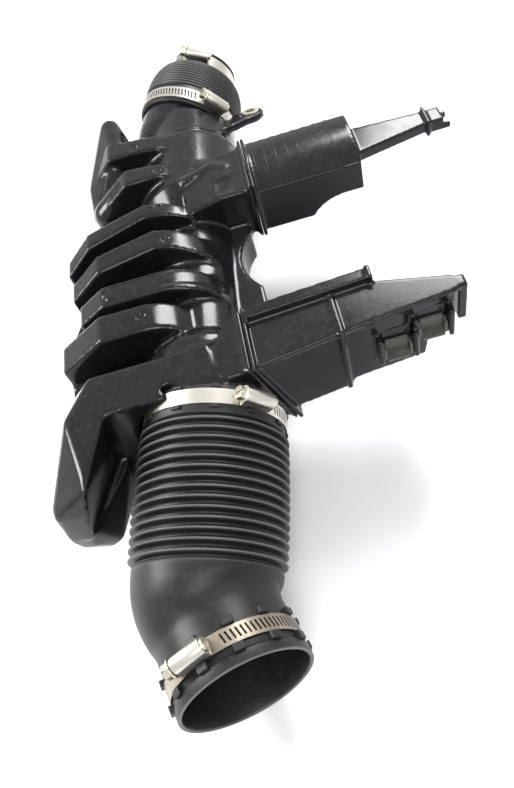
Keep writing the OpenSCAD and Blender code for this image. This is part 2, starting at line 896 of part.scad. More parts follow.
// Places of the four clamps, each turned to where its screw sits
module at_near_mouth() {
    near_mouth_frame()
        translate([0, 0, mouth_z - mouth_rim - band_w / 2])
            rotate([0, 0, 108])
                children();
}

module at_near_collar() {
    near_frame() translate([0, 0, near_band_z]) rotate([0, 0, 44]) children();
}

module at_far_collar() {
    far_frame() rotate([0, 0, 142]) children();
}

module at_far_mouth() {
    far_frame() translate([0, 0, far_cuff_z + far_cuff - 2.5 - band_w / 2 - 1]) rotate([0, 0, 105]) children();
}

placed() duct_body();
placed() near_resonator_box();
placed() far_resonator_box();
placed() near_hose();
placed() far_hose();
placed() lug_bush();
placed() box_clip(inner_pocket, pocket_w);  // near_box_clip_inner
placed() box_clip(outer_pocket, pocket_w);  // near_box_clip_outer
placed() at_near_mouth() clamp_band(near_mouth_r, 24);  // near_mouth_band
placed() at_near_mouth() clamp_housing(near_mouth_r);  // near_mouth_housing
placed() at_near_mouth() clamp_screw(near_mouth_r, -1);  // near_mouth_screw
placed() at_near_collar() clamp_band(near_cuff_r, 20);  // near_collar_band
placed() at_near_collar() clamp_housing(near_cuff_r);  // near_collar_housing
placed() at_near_collar() clamp_screw(near_cuff_r, -1);  // near_collar_screw
placed() at_far_collar() clamp_band(far_cuff_r, 20);  // far_collar_band
placed() at_far_collar() clamp_housing(far_cuff_r);  // far_collar_housing
placed() at_far_collar() clamp_screw(far_cuff_r, 1);  // far_collar_screw
placed() at_far_mouth() clamp_band(far_mouth_r, 16);  // far_mouth_band
placed() at_far_mouth() clamp_housing(far_mouth_r);  // far_mouth_housing
placed() at_far_mouth() clamp_screw(far_mouth_r, 1);  // far_mouth_screw
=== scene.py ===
"""Looks of an air intake resonator duct: gloss moulded body, rubber hoses and steel clamps."""
import json
import logging
import math
from dataclasses import dataclass, field
from enum import Enum

import bmesh
import bpy
from bpy.types import NodeSocket, NodeTree
from mathutils import Matrix, Vector


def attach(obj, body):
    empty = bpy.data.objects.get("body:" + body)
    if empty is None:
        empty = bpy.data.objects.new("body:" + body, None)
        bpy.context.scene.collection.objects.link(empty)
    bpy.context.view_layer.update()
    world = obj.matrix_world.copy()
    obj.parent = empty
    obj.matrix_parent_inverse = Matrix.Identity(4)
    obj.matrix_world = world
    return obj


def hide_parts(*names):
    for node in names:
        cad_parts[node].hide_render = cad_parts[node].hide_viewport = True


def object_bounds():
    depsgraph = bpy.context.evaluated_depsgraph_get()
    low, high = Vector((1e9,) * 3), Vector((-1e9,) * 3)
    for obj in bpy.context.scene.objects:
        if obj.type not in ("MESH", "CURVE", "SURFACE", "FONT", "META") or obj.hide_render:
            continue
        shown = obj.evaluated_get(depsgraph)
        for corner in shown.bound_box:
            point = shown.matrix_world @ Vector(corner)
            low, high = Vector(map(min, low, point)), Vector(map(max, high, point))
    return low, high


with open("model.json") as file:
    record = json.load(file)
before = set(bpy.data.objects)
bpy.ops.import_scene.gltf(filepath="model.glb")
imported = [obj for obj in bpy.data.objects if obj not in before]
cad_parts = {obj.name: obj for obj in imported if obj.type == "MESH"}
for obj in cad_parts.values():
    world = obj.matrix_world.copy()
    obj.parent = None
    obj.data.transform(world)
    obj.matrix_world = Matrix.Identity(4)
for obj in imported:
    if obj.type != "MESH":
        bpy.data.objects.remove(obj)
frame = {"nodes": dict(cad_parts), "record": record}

FIRST_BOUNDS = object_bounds()
LOG = logging.getLogger("scene")

# One millimetre in metres. Points closer than these are merged, in metres in a copied CAD mesh,
# and in millimetres in a new one.
MM = 0.001
SAME_POINT = 0.005 * MM
WELD = 0.01

# Features a metre of the noises behind the wear.
MOTTLE_SCALE = 26.0
SCUFF_SCALE = 55.0
PATCH_SCALE = 14.0
SPECK_SCALE = 240.0

# Rounds that the bevel modifier makes: faces across one, and the least angle in degrees.
ROUND_FACES = 2
ROUND_ANGLE = 35.0


class Slot(Enum):
    """Material slots of the record."""

    PLASTIC = "moulded_plastic"
    RUBBER = "hose_rubber"
    STEEL = "band_steel"
    ZINC = "zinc_screw"
    CLIP = "clip_plastic"


class Effect(Enum):
    """Node groups that the materials share."""

    WEAR = "wear"
    GRAIN = "grain"


def add_socket(tree: NodeTree, name: str, direction: str, kind: str = "NodeSocketFloat",
               default: float | None = None) -> None:
    """Adds a socket to a node group.

    Args:
        tree: The node group.
        name: The socket's name.
        direction: "INPUT" or "OUTPUT".
        kind: The socket type.
        default: The default value, if any.
    """
    socket = tree.interface.new_socket(name=name, in_out=direction, socket_type=kind)
    if default is not None:
        socket.default_value = default


def spread(tree: NodeTree, value: NodeSocket, low: float, high: float,
           to_low: float = 0.0, to_high: float = 1.0) -> NodeSocket:
    """Maps a value from one range to another.

    Args:
        tree: The tree that gets the node.
        value: The value to map.
        low: Start of its range.
        high: End of its range.
        to_low: Result at the start.
        to_high: Result at the end.

    Returns:
        The mapped value.
    """
    node = tree.nodes.new("ShaderNodeMapRange")
    node.inputs["From Min"].default_value = low
    node.inputs["From Max"].default_value = high
    node.inputs["To Min"].default_value = to_low
    node.inputs["To Max"].default_value = to_high
    tree.links.new(value, node.inputs["Value"])
    return node.outputs["Result"]


def combine(tree: NodeTree, operation: str, first: NodeSocket,
            second: NodeSocket) -> NodeSocket:
    """Joins two values with a clamped math node.

    Args:
        tree: The tree that gets the node.
        operation: The math operation.
        first: The first value.
        second: The second value.

    Returns:
        The result.
    """
    node = tree.nodes.new("ShaderNodeMath")
    node.operation = operation
    node.use_clamp = True
    tree.links.new(first, node.inputs[0])
    tree.links.new(second, node.inputs[1])
    return node.outputs["Value"]


def noise(tree: NodeTree, vector: NodeSocket, scale: float, detail: float,
          rough: float) -> NodeSocket:
    """Adds a noise texture.

    Args:
        tree: The tree that gets the node.
        vector: The place that it reads.
        scale: Features a metre.
        detail: Octaves.
        rough: Strength of the fine octaves.

    Returns:
        Its grey value.
    """
    node = tree.nodes.new("ShaderNodeTexNoise")
    node.inputs["Scale"].default_value = scale
    node.inputs["Detail"].default_value = detail
    node.inputs["Roughness"].default_value = rough
    tree.links.new(vector, node.inputs["Vector"])
    return node.outputs["Fac"]


def make_wear() -> NodeTree:
    """Builds the group that gives mottling, scuffs, dust and edge wear.

    Returns:
        The node group.
    """
    tree = bpy.data.node_groups.new(Effect.WEAR.value, "ShaderNodeTree")
    add_socket(tree, "Dust", "INPUT", default=0.3)
    add_socket(tree, "Edge", "INPUT", default=0.3)
    for name in ("Mottle", "Scuff", "Dust", "Edge"):
        add_socket(tree, name, "OUTPUT")
    inside = tree.nodes.new("NodeGroupInput")
    outside = tree.nodes.new("NodeGroupOutput")
    place = tree.nodes.new("ShaderNodeTexCoord").outputs["Object"]
    mottle = spread(tree, noise(tree, place, MOTTLE_SCALE, 5.0, 0.6), 0.36, 0.68)
    tree.links.new(mottle, outside.inputs["Mottle"])
    stretch = tree.nodes.new("ShaderNodeMapping")
    stretch.inputs["Rotation"].default_value = (0.0, 0.0, 0.7)
    stretch.inputs["Scale"].default_value = (1.0, 14.0, 1.0)
    tree.links.new(place, stretch.inputs["Vector"])
    lines = spread(tree, noise(tree, stretch.outputs["Vector"], SCUFF_SCALE, 3.0, 0.7), 0.66, 0.72)
    patches = spread(tree, noise(tree, place, PATCH_SCALE, 2.0, 0.5), 0.5, 0.62)
    tree.links.new(combine(tree, "MULTIPLY", lines, patches), outside.inputs["Scuff"])
    geometry = tree.nodes.new("ShaderNodeNewGeometry")
    split = tree.nodes.new("ShaderNodeSeparateXYZ")
    tree.links.new(geometry.outputs["Normal"], split.inputs["Vector"])
    upward = spread(tree, split.outputs["Z"], 0.1, 0.95)
    speck = spread(tree, noise(tree, place, SPECK_SCALE, 8.0, 0.75), 0.5, 0.78)
    dust = combine(tree, "MULTIPLY", combine(tree, "MULTIPLY", speck, upward), inside.outputs["Dust"])
    tree.links.new(dust, outside.inputs["Dust"])
    sharp = spread(tree, geometry.outputs["Pointiness"], 0.53, 0.62)
    tree.links.new(combine(tree, "MULTIPLY", sharp, inside.outputs["Edge"]), outside.inputs["Edge"])
    return tree


def make_grain() -> NodeTree:
    """Builds the group that gives a fine grained normal.

    Returns:
        The node group.
    """
    tree = bpy.data.node_groups.new(Effect.GRAIN.value, "ShaderNodeTree")
    add_socket(tree, "Scale", "INPUT", default=900.0)
    add_socket(tree, "Height", "INPUT", default=0.00005)
    add_socket(tree, "Normal", "OUTPUT", "NodeSocketVector")
    inside = tree.nodes.new("NodeGroupInput")
    outside = tree.nodes.new("NodeGroupOutput")
    texture = tree.nodes.new("ShaderNodeTexNoise")
    texture.inputs["Detail"].default_value = 3.0
    place = tree.nodes.new("ShaderNodeTexCoord")
    tree.links.new(place.outputs["Object"], texture.inputs["Vector"])
    tree.links.new(inside.outputs["Scale"], texture.inputs["Scale"])
    bump = tree.nodes.new("ShaderNodeBump")
    bump.inputs["Strength"].default_value = 0.5
    tree.links.new(texture.outputs["Fac"], bump.inputs["Height"])
    tree.links.new(inside.outputs["Height"], bump.inputs["Distance"])
    tree.links.new(bump.outputs["Normal"], outside.inputs["Normal"])
    return tree


@dataclass(frozen=True)
class Finish:
    """Constants of one surface, and the material made from them.

    Attributes:
        slot: The record's slot that the finish belongs to.
        colour: Base colour, linear RGB.
        tint: Second colour that the mottling mixes in.
        rough: Roughness of a clean patch.
        rough_spread: How much the mottling adds to it.
        specular: Specular level of the surface.
        metal: Metallic value.
        grain: Size of the fine grain, in features a metre.
        grain_height: Height of that grain, in metres.
        dust: Amount of dust on surfaces that face up.
        edge: Amount of pale wear on edges.
        crest: Amount of pale paint on hose ridges and rims, a painted highlight on their crests.
        scuff: Paleness of the scuffs.
        worn_and_highlight: Colour of worn edges and scuffs, and of the painted highlight on hose ridges
            and rims.
        dirt: Colour of the dust.
    """

    slot: Slot
    colour: tuple[float, float, float]
    tint: tuple[float, float, float]
    rough: float
    rough_spread: float
    specular: float = 0.5
    metal: float = 0.0
    grain: float = 900.0
    grain_height: float = 0.00005
    dust: float = 0.0
    edge: float = 0.0
    crest: float = 0.0
    scuff: float = 0.0
    worn_and_highlight: tuple[float, float, float] = (0.12, 0.12, 0.12)
    dirt: tuple[float, float, float] = (0.20, 0.18, 0.15)

    def layer(self, tree: NodeTree, under: NodeSocket | None,
              factor: NodeSocket, colour: tuple[float, float, float]) -> NodeSocket:
        """Mixes a colour over another by a mask.

        Args:
            tree: The material's tree.
            under: The colour below, or None for the base colour.
            factor: The mask.
            colour: The colour on top.

        Returns:
            The mixed colour.
        """
        mix = tree.nodes.new("ShaderNodeMix")
        mix.data_type = "RGBA"
        mix.inputs["A"].default_value = (*self.colour, 1.0)
        mix.inputs["B"].default_value = (*colour, 1.0)
        if under is not None:
            tree.links.new(under, mix.inputs["A"])
        tree.links.new(factor, mix.inputs["Factor"])
        return mix.outputs["Result"]

    def scaled(self, tree: NodeTree, value: NodeSocket,
               amount: float) -> NodeSocket:
        """Scales a mask by one of the finish's amounts."""
        return spread(tree, value, 0.0, 1.0, 0.0, amount)

    def material(self, name: str, groups: dict[Effect, NodeTree]) -> bpy.types.Material:
        """Builds the procedural material of the finish.

        Args:
            name: The material's name.
            groups: The shared node groups.

        Returns:
            The material.
        """
        made = bpy.data.materials.new(name)
        made.use_nodes = True
        tree = made.node_tree
        surface = tree.nodes["Principled BSDF"]
        surface.inputs["Metallic"].default_value = self.metal
        surface.inputs["Specular IOR Level"].default_value = self.specular
        wear = tree.nodes.new("ShaderNodeGroup")
        wear.node_tree = groups[Effect.WEAR]
        wear.inputs["Dust"].default_value = self.dust
        wear.inputs["Edge"].default_value = self.edge
        grain = tree.nodes.new("ShaderNodeGroup")
        grain.node_tree = groups[Effect.GRAIN]
        grain.inputs["Scale"].default_value = self.grain
        grain.inputs["Height"].default_value = self.grain_height
        ridge = tree.nodes.new("ShaderNodeAttribute")
        ridge.attribute_name = "ridge"
        colour = self.layer(tree, None, wear.outputs["Mottle"], self.tint)
        colour = self.layer(tree, colour, self.scaled(tree, wear.outputs["Scuff"], self.scuff), self.worn_and_highlight)
        # Painted highlight: pale paint on hose ridge crests and rims, by the ridge attribute.
        colour = self.layer(tree, colour, self.scaled(tree, ridge.outputs["Fac"], self.crest), self.worn_and_highlight)
        colour = self.layer(tree, colour, wear.outputs["Edge"], self.worn_and_highlight)
        colour = self.layer(tree, colour, wear.outputs["Dust"], self.dirt)
        tree.links.new(colour, surface.inputs["Base Color"])
        rough = spread(tree, wear.outputs["Mottle"], 0.0, 1.0, self.rough, self.rough + self.rough_spread)
        rough = combine(tree, "ADD", rough, self.scaled(tree, wear.outputs["Scuff"], self.scuff))
        rough = combine(tree, "ADD", rough, wear.outputs["Dust"])
        tree.links.new(rough, surface.inputs["Roughness"])
        tree.links.new(grain.outputs["Normal"], surface.inputs["Normal"])
        return made


GLOSS_PLASTIC = Finish(Slot.PLASTIC, (0.0055, 0.006, 0.0075), (0.0095, 0.010, 0.012), 0.14, 0.10,
                       specular=0.27, grain=420.0, grain_height=0.00003, dust=0.10, edge=0.10, scuff=0.22)
# The rubber's crest amount is a painted highlight on its ridge crests and rim.
HOSE_RUBBER = Finish(Slot.RUBBER, (0.006, 0.0064, 0.0072), (0.0105, 0.011, 0.012), 0.36, 0.14,
                     specular=0.28, grain=1500.0, grain_height=0.00006, dust=0.10, edge=0.12, crest=0.7,
                     scuff=0.12)
BAND_STEEL = Finish(Slot.STEEL, (0.66, 0.64, 0.59), (0.50, 0.47, 0.41), 0.24, 0.2, metal=1.0,
                    grain=2200.0, dust=0.1, worn_and_highlight=(0.8, 0.8, 0.78))
TARNISHED_STEEL = Finish(Slot.STEEL, (0.36, 0.32, 0.26), (0.17, 0.14, 0.105), 0.3, 0.25, metal=1.0,
                         grain=2200.0, dust=0.3, worn_and_highlight=(0.6, 0.58, 0.52))
ZINC_PLATE = Finish(Slot.ZINC, (0.66, 0.63, 0.54), (0.50, 0.45, 0.34), 0.26, 0.2, metal=1.0,
                    grain=1800.0, dust=0.1, worn_and_highlight=(0.8, 0.8, 0.76))
DUSTY_PLASTIC = Finish(Slot.CLIP, (0.055, 0.052, 0.046), (0.10, 0.09, 0.07), 0.55, 0.2, grain=1600.0,
                       dust=0.8, edge=0.3)
FINISHES = {"gloss_plastic": GLOSS_PLASTIC, "hose_rubber": HOSE_RUBBER, "band_steel": BAND_STEEL,
            "zinc_plate": ZINC_PLATE, "dusty_plastic": DUSTY_PLASTIC}


@dataclass(frozen=True)
class WorkingFrame:
    """Places of the hoses, in millimetres, as in the part's source.

    Attributes:
        mouth: The near mouth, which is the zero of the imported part.
        near_centre: The near spigot.
        far_centre: The far spigot.
        near_turn: Heading of the near hose and its slope, in degrees.
        far_turn: The same for the far hose.
        bend_start: Where the near hose starts to bend.
        bend_r: Centre line radius of the bend.
        bend: Angle of the bend, in degrees.
        roll: Turn of the bend's plane, in degrees.
    """

    mouth: Vector = field(default_factory=lambda: Vector((-3.93648, -142.726, -9.58973)))
    near_centre: Vector = field(default_factory=lambda: Vector((1.5, 0.0, -1.5)))
    far_centre: Vector = field(default_factory=lambda: Vector((23.0, 306.0, 1.0)))
    near_turn: tuple[float, float] = (-13.0, -7.5)
    far_turn: tuple[float, float] = (152.0, 15.0)
    bend_start: float = 81.0
    bend_r: float = 46.0
    bend: float = 32.0
    roll: float = 21.0

    def aim(self, centre: Vector, turn: tuple[float, float]) -> Matrix:
        """Turns local Z to a heading and slope at a centre.

        Args:
            centre: The centre, in working millimetres.
            turn: Heading and slope, in degrees.

        Returns:
            The frame.
        """
        heading = Matrix.Rotation(math.radians(turn[0]), 4, "Z")
        slope = Matrix.Rotation(math.radians(90.0 - turn[1]), 4, "X")
        return Matrix.Translation(centre) @ heading @ slope

    def near(self, along: float) -> Matrix:
        """Gives the near hose's frame at a distance along its centre line.

        Args:
            along: Distance from the spigot's centre, in millimetres.

        Returns:
            The frame, with local Z along the hose.
        """
        base = self.aim(self.near_centre, self.near_turn)
        past = along - self.bend_start
        if past <= 0.0:
            return base @ Matrix.Translation((0.0, 0.0, along))
        angle = min(past / self.bend_r, math.radians(self.bend))
        rest = past - angle * self.bend_r
        roll = Matrix.Rotation(math.radians(self.roll), 4, "Z")
        arm = Matrix.Translation((self.bend_r, 0.0, 0.0))
        bent = roll @ arm @ Matrix.Rotation(angle, 4, "Y") @ arm.inverted() @ roll.inverted()
        return (base @ Matrix.Translation((0.0, 0.0, self.bend_start)) @ bent
                @ Matrix.Translation((0.0, 0.0, rest)))

    def far(self, along: float) -> Matrix:
        """Gives the far hose's frame at a distance along it."""
        return self.aim(self.far_centre, self.far_turn) @ Matrix.Translation((0.0, 0.0, along))

    def bend_end(self) -> float:
        """Gives where the near hose's bend ends, along its centre line."""
        return self.bend_start + self.bend_r * math.radians(self.bend)


PLACES = WorkingFrame()


@dataclass
class Piece:
    """A new visible piece that is built in working millimetres.

    Attributes:
        name: The piece's name.
        replaced: The CAD node that it stands for.
        material: Its material.
        slot: The record's slot of that material; not used.
        build: Its mesh while it is built.
    """

    name: str
    replaced: str
    material: bpy.types.Material
    slot: Slot
    build: bmesh.types.BMesh = field(init=False, default_factory=bmesh.new)

    def place(self) -> bpy.types.Object:
        """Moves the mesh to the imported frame, in metres, and makes the object.

        Returns:
            The new object.
        """
        bmesh.ops.remove_doubles(self.build, verts=self.build.verts, dist=WELD)
        bmesh.ops.recalc_face_normals(self.build, faces=self.build.faces)
        bmesh.ops.translate(self.build, verts=self.build.verts, vec=-PLACES.mouth)
        bmesh.ops.scale(self.build, verts=self.build.verts, vec=(MM,) * 3)
        return self.finish()

    def finish(self) -> bpy.types.Object:
        """Turns the mesh into an object that rides on the part's one body.

        Returns:
            The new object.
        """
        mesh = bpy.data.meshes.new(self.name)
        self.build.to_mesh(mesh)
        self.build.free()
        mesh.materials.append(self.material)
        piece = bpy.data.objects.new(self.name, mesh)
        bpy.context.scene.collection.objects.link(piece)
        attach(piece, "root")
        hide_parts(self.replaced)
        LOG.info("%s: %d faces", self.name, len(mesh.polygons))
        return piece


def add_bevel(piece: bpy.types.Object, width: float) -> None:
    """Rounds a piece's edges with a modifier.

    Args:
        piece: The object.
        width: Width of the round, in metres.
    """
    bevel = piece.modifiers.new("rounded_edges", "BEVEL")
    bevel.width = width
    bevel.segments = ROUND_FACES
    bevel.limit_method = "ANGLE"
    bevel.angle_limit = math.radians(ROUND_ANGLE)
    bevel.profile = 0.5


@dataclass
class MouldedShell:
    """A blow moulded shell: the CAD solid with the soft edges of a moulding.

    Attributes:
        node: The CAD node.
        voxel: Voxel of the remesh, in millimetres.
        passes: Smoothing passes.
        blocks: Low and high corners of blocks that are moulded on, in working millimetres.
    """

    node: str
    voxel: float
    passes: int = 5
    blocks: tuple[tuple[Vector, Vector], ...] = ()

    def shape(self, build: bmesh.types.BMesh) -> None:
        """Adds forms finer than the remesh, of which a plain shell has none."""

    def make(self, material: bpy.types.Material) -> bpy.types.Object:
        """Builds the shell.

        Args:
            material: Its material.

        Returns:
            The new object.
        """
        source = bmesh.new()
        source.from_mesh(frame["nodes"][self.node].data)
        bmesh.ops.remove_doubles(source, verts=source.verts, dist=SAME_POINT)
        for low, high in self.blocks:
            size = Matrix.Diagonal((*(high - low), 1.0))
            middle = Matrix.Translation((low + high) / 2.0 - PLACES.mouth)
            bmesh.ops.create_cube(source, size=1.0, matrix=Matrix.Scale(MM, 4) @ middle @ size)
        mesh = bpy.data.meshes.new("moulding")
        source.to_mesh(mesh)
        source.free()
        rough = bpy.data.objects.new("moulding", mesh)
        bpy.context.scene.collection.objects.link(rough)
        remesh = rough.modifiers.new("remesh", "REMESH")
        remesh.mode = "VOXEL"
        remesh.voxel_size = self.voxel * MM
        soften = rough.modifiers.new("soften", "SMOOTH")
        soften.factor = 0.5
        soften.iterations = self.passes
        remeshed = rough.evaluated_get(bpy.context.evaluated_depsgraph_get())
        shell = Piece(self.node + "_shell", self.node, material, Slot.PLASTIC)
        shell.build.from_mesh(remeshed.to_mesh())
        remeshed.to_mesh_clear()
        bpy.data.objects.remove(rough)
        bpy.data.meshes.remove(mesh)
        bmesh.ops.scale(shell.build, verts=shell.build.verts, vec=(1.0 / MM,) * 3)
        bmesh.ops.translate(shell.build, verts=shell.build.verts, vec=PLACES.mouth)
        self.shape(shell.build)
        bmesh.ops.translate(shell.build, verts=shell.build.verts, vec=-PLACES.mouth)
        bmesh.ops.scale(shell.build, verts=shell.build.verts, vec=(MM,) * 3)
        for face in shell.build.faces:
            face.smooth = True
            face.material_index = 0
        return shell.finish()


@dataclass
class BodyShell(MouldedShell):
    """The duct body's shell, with the dimples and the long groove of its fingers.

    Attributes:
        dimples: Middles of the dimples, seen from above.
        dimple_r: Radius of a dimple.
        dimple_depth: How deep a dimple is.
        dimple_slope: How wide its slope is.
        groove_y: Middle line of the groove, which runs along X.
        groove_ends: Where its round end is centred, and where it fades out.
        groove_r: Radius of the round end.
        groove_depth: How deep the groove is.
        groove_w: Half its width.
        crown: Height above which the fingers are marked.
        facing: Least Z of the normals of marked faces.
        refined: How close to a mark the mesh is halved, at the first and second time.
    """

    dimples: tuple[tuple[float, float], ...] = ((-16.0, 237.0), (-1.0, 204.0), (-4.0, 166.0),
                                                (-2.0, 132.0), (-24.0, 71.0))
    dimple_r: float = 2.75
    dimple_depth: float = 1.0
    dimple_slope: float = 0.9
    groove_y: float = 97.0
    groove_ends: tuple[float, float] = (-42.0, 30.0)
    groove_r: float = 5.5
    groove_depth: float = 0.9
    groove_w: float = 0.6
    crown: float = 20.0
    facing: float = 0.35
    refined: tuple[float, float] = (2.2, 1.2)

    def to_dimple(self, point: Vector) -> float:
        """Gives the distance to the edge of the nearest dimple, negative inside it."""
        return min(math.hypot(point.x - x, point.y - y) for x, y in self.dimples) - self.dimple_r

    def to_groove(self, point: Vector) -> float:
        """Gives the distance to the line of the long groove.

        Args:
            point: The place, in working millimetres.

        Returns:
            The distance, in millimetres.
        """
        across = abs(point.y - self.groove_y)
        left, right = self.groove_ends
        if point.x < left:
            return abs(math.hypot(point.x - left, across) - self.groove_r)
        return abs(max(across - self.groove_r, point.x - right))

    def refine(self, build: bmesh.types.BMesh, near: float) -> None:
        """Halves the edges close to the groove and the dimples.

        Args:
            build: The shell.
            near: How close, in millimetres.
        """
        edges = []
        for edge in build.edges:
            middle = (edge.verts[0].co + edge.verts[1].co) / 2.0
            nearest = min(self.to_groove(middle), abs(self.to_dimple(middle)))
            if middle.z > self.crown and nearest < near:
                edges.append(edge)
        bmesh.ops.subdivide_edges(build, edges=edges, cuts=1, use_grid_fill=True)
        bmesh.ops.triangulate(build, faces=[face for face in build.faces if len(face.verts) > 4])

    def shape(self, build: bmesh.types.BMesh) -> None:
        """Presses the dimples and the groove into the shell.

        Args:
            build: The shell.
        """
        for near in self.refined:
            self.refine(build, near)
        build.normal_update()
        moves = {}
        for vert in build.verts:
            if vert.co.z < self.crown or vert.normal.z < self.facing:
                continue
            pressed = min(1.0, max(0.0, 0.5 - self.to_dimple(vert.co) / self.dimple_slope))
            depth = self.groove_depth * math.exp(-(self.to_groove(vert.co) / self.groove_w) ** 2)
            moves[vert] = vert.normal * (depth + self.dimple_depth * pressed)
        for vert, move in moves.items():
            vert.co -= move


@dataclass
class RibbedShell(MouldedShell):
    """The far box's shell, with crisp thin ribs over its round top.

    Attributes:
        axis: Y and Z of the round top's axis, which runs along X.
        round_r: Radius of the round top.
        first_rib: X of the first rib.
        pitch: Distance between ribs.
        ribs: How many there are.
        arc: Angles from the top at which a rib starts and ends, in degrees.
        profile: Outline of a rib: distance across it, and rise over the round top.
        steps: Faces along a rib.
        past_ribs: How far before the first rib and past the last one the top is evened.
        uneven: How far off the radius a point may be and still be evened.
        front: Distance in Y from the axis at which the evened part ends.
    """

    axis: tuple[float, float] = (186.0, -16.0)
    round_r: float = 60.0
    first_rib: float = 67.0
    pitch: float = 7.7
    ribs: int = 8
    arc: tuple[float, float] = (-17.0, 16.0)
    profile: tuple[tuple[float, float], ...] = ((0.0, -0.3), (0.12, 0.35), (0.4, 0.55), (0.7, 0.35),
                                                (0.82, -0.3))
    steps: int = 16
    past_ribs: tuple[float, float] = (2.0, 3.0)
    uneven: float = 0.7
    front: float = 16.3

    def even(self, build: bmesh.types.BMesh) -> None:
        """Moves the points of the round top onto one radius.

        Args:
            build: The shell.
        """
        first = self.first_rib - self.past_ribs[0]
        last = self.first_rib + self.pitch * (self.ribs - 1) + self.past_ribs[1]
        for vert in build.verts:
            y, z = vert.co.y - self.axis[0], vert.co.z - self.axis[1]
            reach = math.hypot(y, z)
            if first < vert.co.x < last and abs(reach - self.round_r) < self.uneven and y < self.front:
                vert.co.y = self.axis[0] + y * self.round_r / reach
                vert.co.z = self.axis[1] + z * self.round_r / reach

    def shape(self, build: bmesh.types.BMesh) -> None:
        """Evens the round top and sets the ribs on it.

        Args:
            build: The shell.
        """
        self.even(build)
        low, high = (math.radians(angle) for angle in self.arc)
        for rib in range(self.ribs):
            x = self.first_rib + rib * self.pitch
            verts = []
            for across, rise in self.profile:
                radius = self.round_r + rise
                verts.append(build.verts.new((x + across, self.axis[0] + radius * math.sin(low),
                                              self.axis[1] + radius * math.cos(low))))
            edges = [build.edges.new(pair) for pair in zip(verts, verts[1:] + verts[:1])]
            start = build.faces.new(verts)
            made = bmesh.ops.spin(build, geom=[start, *edges, *verts], cent=(x, *self.axis),
                                  axis=(1.0, 0.0, 0.0), angle=low - high, steps=self.steps,
                                  use_merge=False)
            rib_faces = {face for item in made["geom_last"] if isinstance(item, bmesh.types.BMVert)
                         for face in item.link_faces}
            bmesh.ops.recalc_face_normals(build, faces=self.island(rib_faces))

    def island(self, faces: set[bmesh.types.BMFace]) -> list[bmesh.types.BMFace]:
        """Lists the faces that hang together with the given ones.

        Args:
            faces: The faces to start from.

        Returns:
            Those faces and all that share an edge with them, directly or through others.
        """
        found, queue = set(faces), list(faces)
        while queue:
            for edge in queue.pop().edges:
                for face in edge.link_faces:
                    if face not in found:
                        found.add(face)
                        queue.append(face)
        return list(found)


@dataclass(frozen=True)
class Station:
    """One ring of a swept hose.

    Attributes:
        along: Its distance along the hose.
        radius: Its radius.
        ridge: How much pale paint it gets, a painted highlight on ridge crests and the rim.
    """

    along: float
    radius: float
    ridge: float = 0.0


# One fold of a hose wall: share of the pitch, and share of the fold's height.
RIDGE_SHAPE = ((0.0, 0.03), (0.14, 0.0), (0.26, 0.06), (0.34, 0.36), (0.39, 0.74), (0.44, 0.93),
               (0.51, 1.0), (0.59, 1.0), (0.66, 0.93), (0.71, 0.74), (0.78, 0.36), (0.88, 0.1))
FINE_SHAPE = ((0.0, 0.0), (0.2, 0.1), (0.35, 0.7), (0.5, 1.0), (0.65, 1.0), (0.8, 0.7), (0.92, 0.1))
INNER_SHAPE = ((0.0, 0.0), (0.25, 0.0), (0.48, 1.0), (0.72, 1.0))


def rings_at(along: float, radius: float, steps: tuple[tuple[float, ...], ...]) -> list[Station]:
    """Lists rings by their distance past a place, their rise over a radius and how much painted highlight
    they get.
    """
    return [Station(along + past, radius + rise, *ridge) for past, rise, *ridge in steps]


